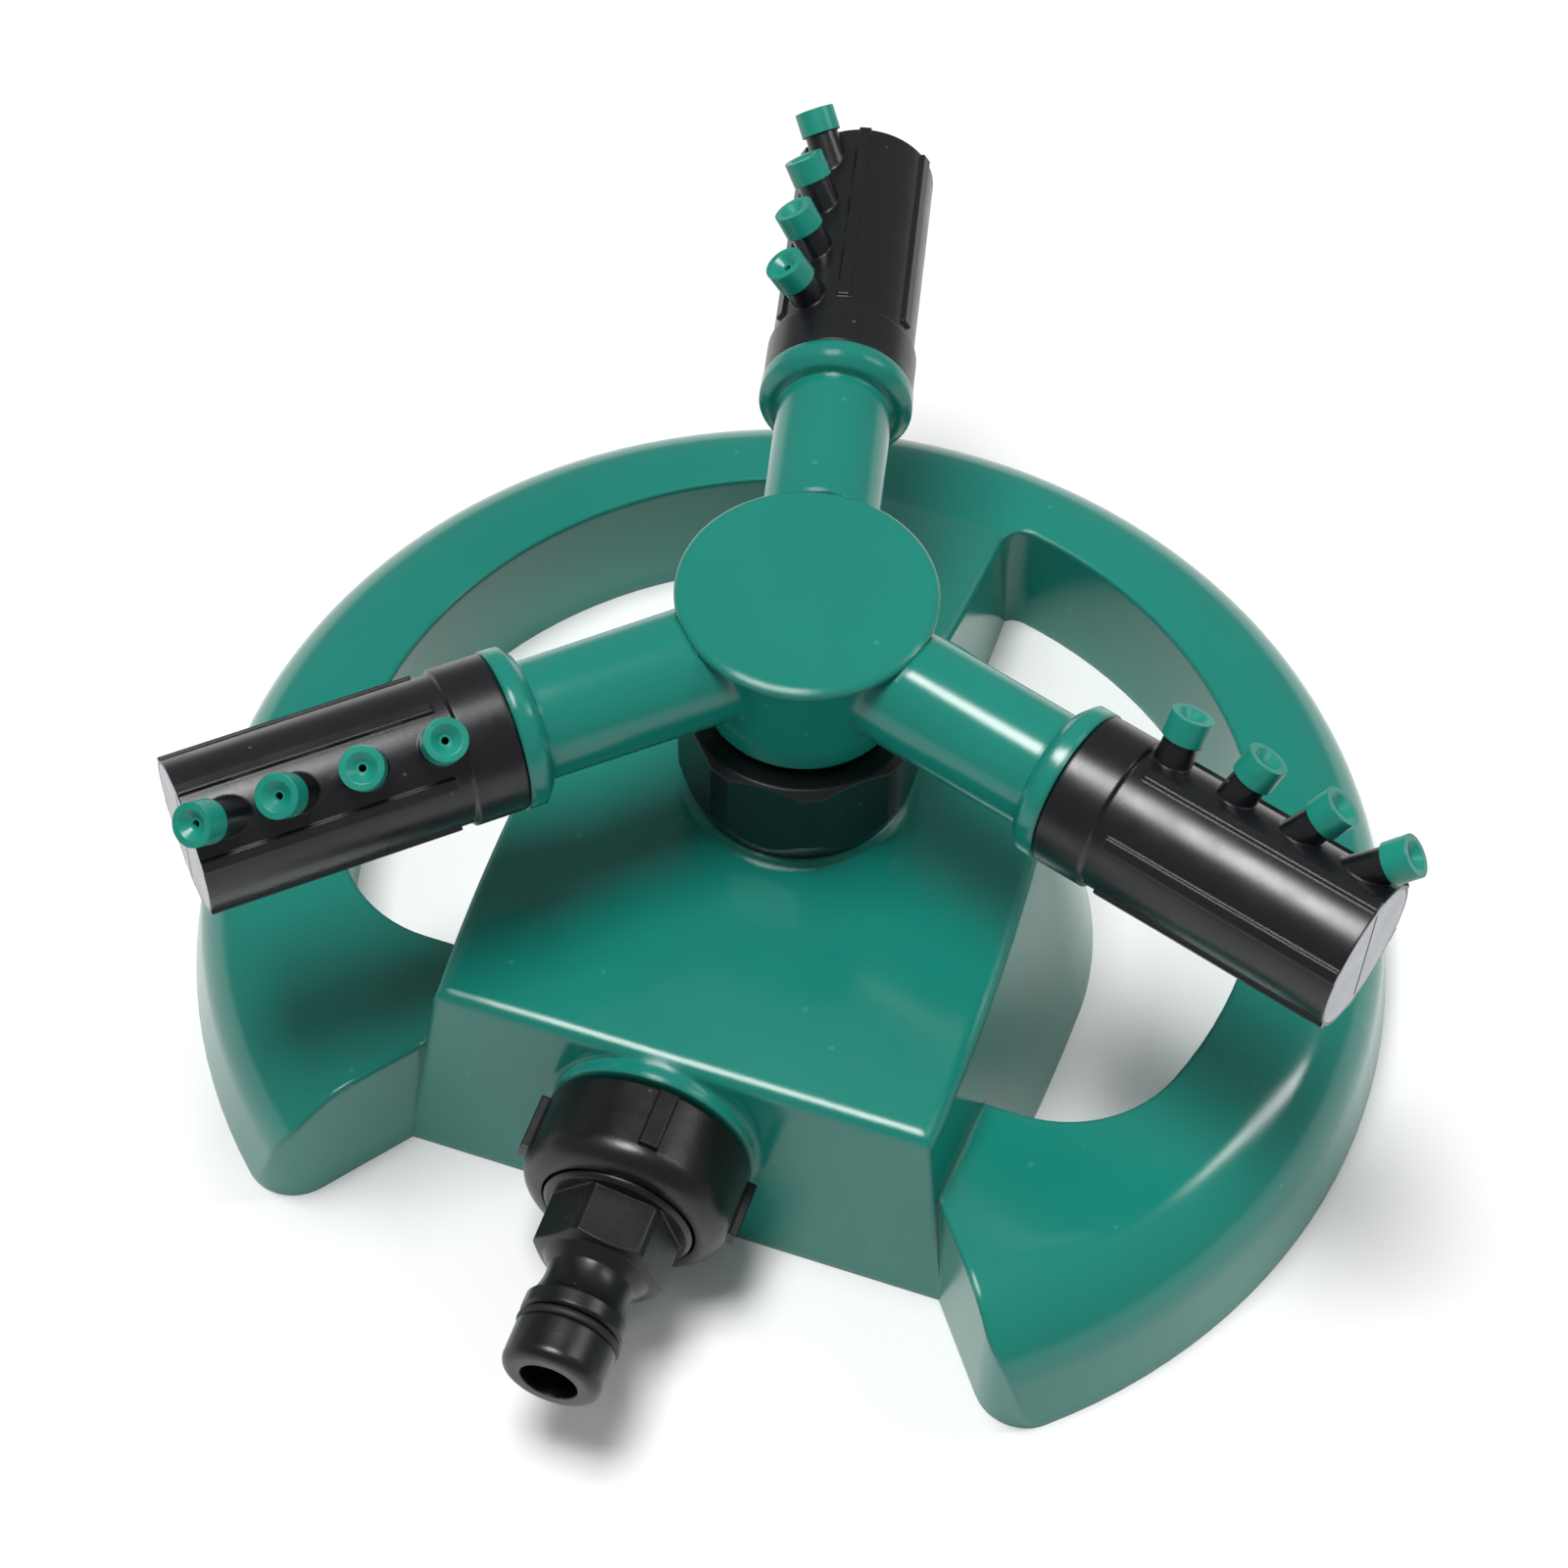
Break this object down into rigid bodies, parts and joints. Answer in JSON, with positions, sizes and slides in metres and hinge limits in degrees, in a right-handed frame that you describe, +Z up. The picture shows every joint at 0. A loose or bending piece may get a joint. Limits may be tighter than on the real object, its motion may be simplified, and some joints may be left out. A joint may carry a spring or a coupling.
{
  "type": "rotating garden sprinkler",
  "caption": "Rotating lawn sprinkler: glossy ring base, hose inlet with swivel nut, and a turning head whose hollow arms end in turnable tubes with angled spray nozzles.",
  "frame": {"origin": "on the ground, below the turning axis of the head", "axes": "+Z up along the turning axis of the head, -Y along the hose inlet, away from the base"},
  "size_m": [0.2, 0.2035, 0.0963],
  "materials": {
    "green_gloss_moulding": "glossy",
    "black_gloss_moulding": "glossy",
    "black_connector_moulding": "satin",
    "black_seal_rubber": "matt",
    "white_washer_nylon": "satin",
    "grey_disc_moulding": "satin",
    "green_tip_moulding": "satin"
  },
  "bodies": {
    "base": {"base_shell": "green_gloss_moulding", "water_elbow": "black_gloss_moulding", "riser_gasket": "black_seal_rubber", "inlet_spigot": "black_gloss_moulding", "spigot_seal": "black_seal_rubber", "collar_nut": "black_gloss_moulding", "riser_washer": "white_washer_nylon", "collar_washer": "white_washer_nylon"},
    "head": {"rotor_hub": "green_gloss_moulding", "hub_cap": "green_gloss_moulding", "spindle": "black_gloss_moulding", "spindle_seal": "black_seal_rubber", "arm_seal_1": "black_seal_rubber", "arm_seal_2": "black_seal_rubber", "arm_seal_3": "black_seal_rubber"},
    "tube_1": {"nozzle_tube_1": "black_gloss_moulding", "end_disc_1": "grey_disc_moulding", "nozzle_tip_1_1": "green_tip_moulding", "nozzle_tip_1_2": "green_tip_moulding", "nozzle_tip_1_3": "green_tip_moulding", "nozzle_tip_1_4": "green_tip_moulding"},
    "tube_2": {"nozzle_tube_2": "black_gloss_moulding", "end_disc_2": "grey_disc_moulding", "nozzle_tip_2_1": "green_tip_moulding", "nozzle_tip_2_2": "green_tip_moulding", "nozzle_tip_2_3": "green_tip_moulding", "nozzle_tip_2_4": "green_tip_moulding"},
    "tube_3": {"nozzle_tube_3": "black_gloss_moulding", "end_disc_3": "grey_disc_moulding", "nozzle_tip_3_1": "green_tip_moulding", "nozzle_tip_3_2": "green_tip_moulding", "nozzle_tip_3_3": "green_tip_moulding", "nozzle_tip_3_4": "green_tip_moulding"},
    "nipple": {"hose_nipple": "black_connector_moulding", "nipple_seal": "black_seal_rubber", "hose_washer": "black_seal_rubber"},
    "nut": {"hose_nut": "black_connector_moulding"}
  },
  "joints": [
    {"name": "head_spin", "type": "hinge", "parent": "base", "child": "head", "pos_m": [0, 0, 0.0614], "axis": [0, 0, 1], "continuous": true},
    {"name": "tube_turn_1", "type": "hinge", "parent": "head", "child": "tube_1", "pos_m": [0.05725, -0.01794, 0.0784], "axis": [0.9542, -0.299, 0], "continuous": true},
    {"name": "tube_turn_2", "type": "hinge", "parent": "head", "child": "tube_2", "pos_m": [-0.01309, 0.05856, 0.0784], "axis": [-0.2181, 0.9759, 0], "continuous": true},
    {"name": "tube_turn_3", "type": "hinge", "parent": "head", "child": "tube_3", "pos_m": [-0.04417, -0.04061, 0.0784], "axis": [-0.7361, -0.6769, 0], "continuous": true},
    {"name": "nipple_slide", "type": "slide", "parent": "base", "child": "nipple", "axis": [0, -1, 0], "range_m": [0, 0.011]},
    {"name": "nut_turn", "type": "hinge", "parent": "nipple", "child": "nut", "pos_m": [-0.0035, -0.067, 0.0223], "axis": [0, -1, 0], "range_deg": [0, 2160]}
  ],
  "couplings": [
    {"joint": "nipple_slide", "follows": "nut_turn", "m_per_rad": 0.00028871}
  ]
}
